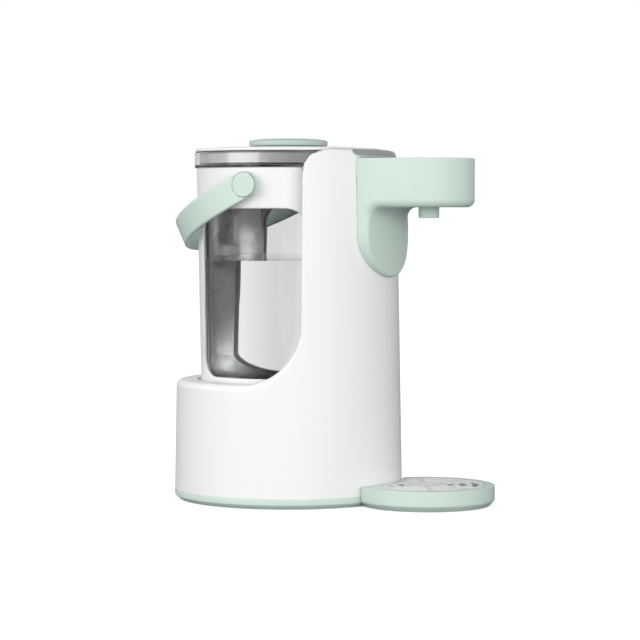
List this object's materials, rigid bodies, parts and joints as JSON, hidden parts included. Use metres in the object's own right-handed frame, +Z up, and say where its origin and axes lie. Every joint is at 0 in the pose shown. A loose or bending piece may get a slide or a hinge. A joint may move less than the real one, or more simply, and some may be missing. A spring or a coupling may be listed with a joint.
{
  "type": "formula water dispenser",
  "caption": "Countertop warm-water dispenser for baby formula: a glass jug with a swing handle in a round heated base, a column with a spout arm, and a drip tray for the bottle.",
  "frame": {"origin": "centre of the bounding box's bottom, on the table under the dispenser", "axes": "+X from the jug towards the bottle, +Z up, +Y to the left when facing the bottle side from behind"},
  "size_m": [0.2534, 0.1738, 0.2737],
  "materials": {
    "white_shell": "smooth satin white moulding",
    "mint_shell": "satin pale mint moulding",
    "grey_panel": "glossy grey touch surface",
    "polished_steel": "polished stainless steel",
    "brushed_steel": "brushed stainless steel",
    "clear_glass": "clear borosilicate glass",
    "dark_rubber": "matt dark rubber",
    "silicone": "milky silicone",
    "dark_plastic": "matt dark plastic",
    "contact_metal": "bare brass",
    "circuit_board": "green solder mask",
    "cable": "grey insulation"
  },
  "bodies": {
    "base": {"main_housing": "white_shell", "well_liner": "white_shell", "column_cap": "grey_panel", "base_plate": "mint_shell", "rubber_feet": "dark_rubber", "base_screws": "brushed_steel", "liner_screws": "brushed_steel", "arm_housing": "mint_shell", "arm_cover": "mint_shell", "touch_panel": "grey_panel", "touch_board": "circuit_board", "arm_screws": "brushed_steel", "nozzle": "mint_shell", "delivery_hose": "silicone", "inlet_hose": "silicone", "ribbon_cable": "cable", "water_port": "white_shell", "port_seal": "dark_rubber", "pump_body": "dark_plastic", "motor_can": "brushed_steel", "pump_bracket": "dark_plastic", "pump_screws": "brushed_steel", "main_board": "circuit_board", "board_screws": "brushed_steel", "power_inlet": "dark_plastic", "inlet_pins": "contact_metal", "base_coupler": "white_shell", "contact_rings": "contact_metal", "probe_spring": "brushed_steel"},
    "pump_rotor": {"pump_rotor": "brushed_steel"},
    "probe": {"temperature_probe": "brushed_steel"},
    "jug": {"jug_frame": "white_shell", "steel_sleeve": "polished_steel", "glass_vessel": "clear_glass", "heating_plate": "polished_steel", "plate_seal": "dark_rubber", "heating_element": "brushed_steel", "jug_base": "white_shell", "jug_coupler": "dark_plastic", "jug_screws": "brushed_steel", "valve_body": "white_shell", "valve_spring": "brushed_steel", "pivot_pins": "brushed_steel"},
    "valve": {"valve_plunger": "dark_rubber"},
    "handle": {"handle": "mint_shell", "handle_caps": "mint_shell"},
    "lid": {"lid_cover": "white_shell", "lid_cup": "polished_steel", "lid_seal": "dark_rubber", "lid_knob": "mint_shell", "knob_screw": "brushed_steel"},
    "drip_tray": {"drip_tray": "mint_shell", "tray_feet": "dark_rubber"},
    "grille": {"tray_grille": "white_shell"}
  },
  "joints": [
    {"name": "jug_lift", "type": "slide", "parent": "base", "child": "jug", "axis": [0, 0, 1], "range_m": [0, 0.06]},
    {"name": "valve_close", "type": "slide", "parent": "jug", "child": "valve", "axis": [0, 0, -1], "range_m": [0, 0.003], "deforming": ["valve_spring"]},
    {"name": "handle_swing", "type": "hinge", "parent": "jug", "child": "handle", "pos_m": [-0.0373, 0, 0.2382], "axis": [0, 1, 0], "range_deg": [0, 140]},
    {"name": "lid_lift", "type": "slide", "parent": "jug", "child": "lid", "axis": [0, 0, 1], "range_m": [0, 0.085]},
    {"name": "tray_slide", "type": "slide", "parent": "base", "child": "drip_tray", "axis": [1, 0, 0], "range_m": [0, 0.04]},
    {"name": "grille_lift", "type": "slide", "parent": "drip_tray", "child": "grille", "axis": [0, 0, 1], "range_m": [0, 0.02]},
    {"name": "pump_spin", "type": "hinge", "parent": "base", "child": "pump_rotor", "pos_m": [0.0002, 0, 0.026], "axis": [0, 1, 0], "continuous": true},
    {"name": "probe_press", "type": "slide", "parent": "base", "child": "probe", "axis": [0, 0, -1], "range_m": [0, 0.002], "stiffness_N_per_m": 300, "springref_m": -0.003, "deforming": ["probe_spring"]}
  ],
  "couplings": [
    {"joint": "valve_close", "follows": "jug_lift", "ratio": 0.05}
  ]
}
